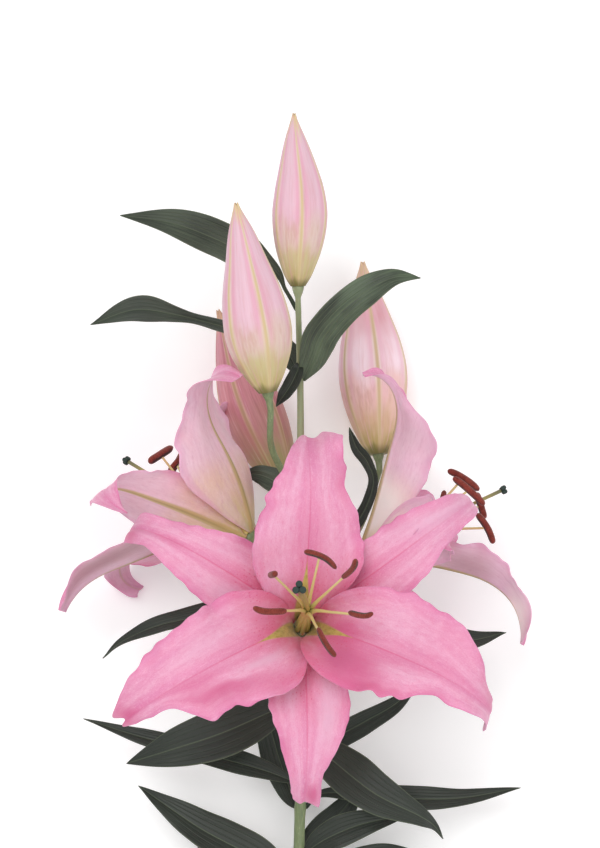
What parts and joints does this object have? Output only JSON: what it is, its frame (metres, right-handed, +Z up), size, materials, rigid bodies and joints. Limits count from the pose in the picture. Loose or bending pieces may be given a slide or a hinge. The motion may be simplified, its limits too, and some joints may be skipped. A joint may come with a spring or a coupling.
{
  "type": "cut lily",
  "caption": "Cut oriental lily lying on its back: a leafy stem with pink recurved blooms, long stamens and closed buds.",
  "frame": {"origin": "middle of the footprint, at the height of the table that the lily lies on", "axes": "+Y along the stem towards the top bud, +Z up, +X to the right of the plant seen from above"},
  "size_m": [0.2582, 0.5314, 0.1896],
  "materials": {
    "stem_green": "smooth fresh stem, satin",
    "leaf_green": "dark leaf with parallel veins, satin",
    "bud_pink": "pale pink with yellow-green ribs, matt",
    "petal_pink": "bright pink, deeper along the midrib, matt",
    "pollen_brown": "powdery pollen on pale filaments, matt",
    "style_green": "smooth, satin"
  },
  "bodies": {
    "root": {"bud_behind": "bud_pink", "bud_front": "bud_pink", "bud_right": "bud_pink", "bud_top": "bud_pink", "front_petal_1": "petal_pink", "front_petal_2": "petal_pink", "front_petal_3": "petal_pink", "front_pistil": "style_green", "front_sepal_1": "petal_pink", "front_sepal_2": "petal_pink", "front_sepal_3": "petal_pink", "front_stamens": "pollen_brown", "leaf_01": "leaf_green", "leaf_02": "leaf_green", "leaf_03": "leaf_green", "leaf_04": "leaf_green", "leaf_05": "leaf_green", "leaf_06": "leaf_green", "leaf_07": "leaf_green", "leaf_08": "leaf_green", "leaf_09": "leaf_green", "leaf_10": "leaf_green", "leaf_11": "leaf_green", "leaf_12": "leaf_green", "leaf_13": "leaf_green", "leaf_14": "leaf_green", "leaf_15": "leaf_green", "leaf_16": "leaf_green", "leaf_17": "leaf_green", "leaf_18": "leaf_green", "leaf_19": "leaf_green", "leaf_20": "leaf_green", "left_petal_1": "petal_pink", "left_petal_2": "petal_pink", "left_petal_3": "petal_pink", "left_pistil": "style_green", "left_sepal_1": "petal_pink", "left_sepal_2": "petal_pink", "left_sepal_3": "petal_pink", "left_stamens": "pollen_brown", "right_petal_1": "petal_pink", "right_petal_2": "petal_pink", "right_petal_3": "petal_pink", "right_pistil": "style_green", "right_sepal_1": "petal_pink", "right_sepal_2": "petal_pink", "right_sepal_3": "petal_pink", "right_stamens": "pollen_brown", "stem": "stem_green"}
  },
  "joints": []
}
